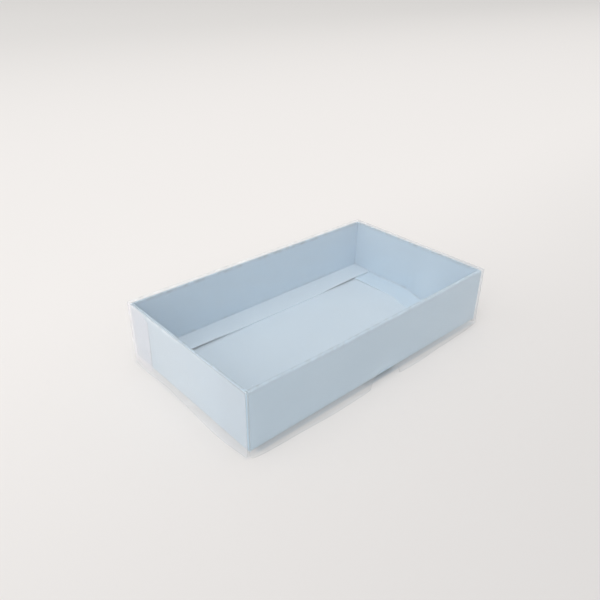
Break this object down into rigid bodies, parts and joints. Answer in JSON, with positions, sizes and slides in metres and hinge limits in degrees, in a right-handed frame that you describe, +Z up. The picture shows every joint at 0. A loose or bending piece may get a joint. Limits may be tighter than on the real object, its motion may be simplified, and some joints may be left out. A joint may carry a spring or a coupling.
{
  "type": "clear-lidded box",
  "caption": "Shallow folded card tray with double walls and floor flanges, under a clear film lid that lifts straight off and has a thumb notch on each long side.",
  "frame": {"origin": "centre of the box on the surface that it stands on, level with the lid's free edges", "axes": "+X along the box's length to the right, +Y towards the back, +Z up through the lid's top"},
  "size_m": [0.1612, 0.097, 0.0331],
  "materials": {
    "blue_card": "matt pale blue",
    "clear_film": "clear gloss film"
  },
  "bodies": {
    "tray": {"floor_panel": "blue_card", "front_outer_wall": "blue_card", "back_outer_wall": "blue_card", "right_outer_wall": "blue_card", "left_outer_wall": "blue_card", "front_rim": "blue_card", "back_rim": "blue_card", "right_rim": "blue_card", "left_rim": "blue_card", "front_inner_wall": "blue_card", "back_inner_wall": "blue_card", "right_inner_wall": "blue_card", "left_inner_wall": "blue_card", "right_floor_flange": "blue_card", "left_floor_flange": "blue_card", "front_left_corner_tab": "blue_card", "front_right_corner_tab": "blue_card", "back_right_corner_tab": "blue_card", "back_left_corner_tab": "blue_card"},
    "front_flange": {"front_floor_flange": "blue_card"},
    "back_flange": {"back_floor_flange": "blue_card"},
    "lid": {"lid_top_panel": "clear_film", "lid_front_wall": "clear_film", "lid_back_wall": "clear_film", "lid_right_wall": "clear_film", "lid_left_wall": "clear_film", "lid_front_left_glue_tab": "clear_film", "lid_front_right_glue_tab": "clear_film", "lid_back_right_glue_tab": "clear_film", "lid_back_left_glue_tab": "clear_film"}
  },
  "joints": [
    {"name": "lid_lift", "type": "slide", "parent": "tray", "child": "lid", "axis": [0, 0, 1], "range_m": [0, 0.04]},
    {"name": "front_flange_fold", "type": "hinge", "parent": "tray", "child": "front_flange", "pos_m": [0, -0.04235, 0.0043], "axis": [1, 0, 0], "range_deg": [0, 88]},
    {"name": "back_flange_fold", "type": "hinge", "parent": "tray", "child": "back_flange", "pos_m": [0, 0.04235, 0.0043], "axis": [-1, 0, 0], "range_deg": [0, 88]}
  ]
}
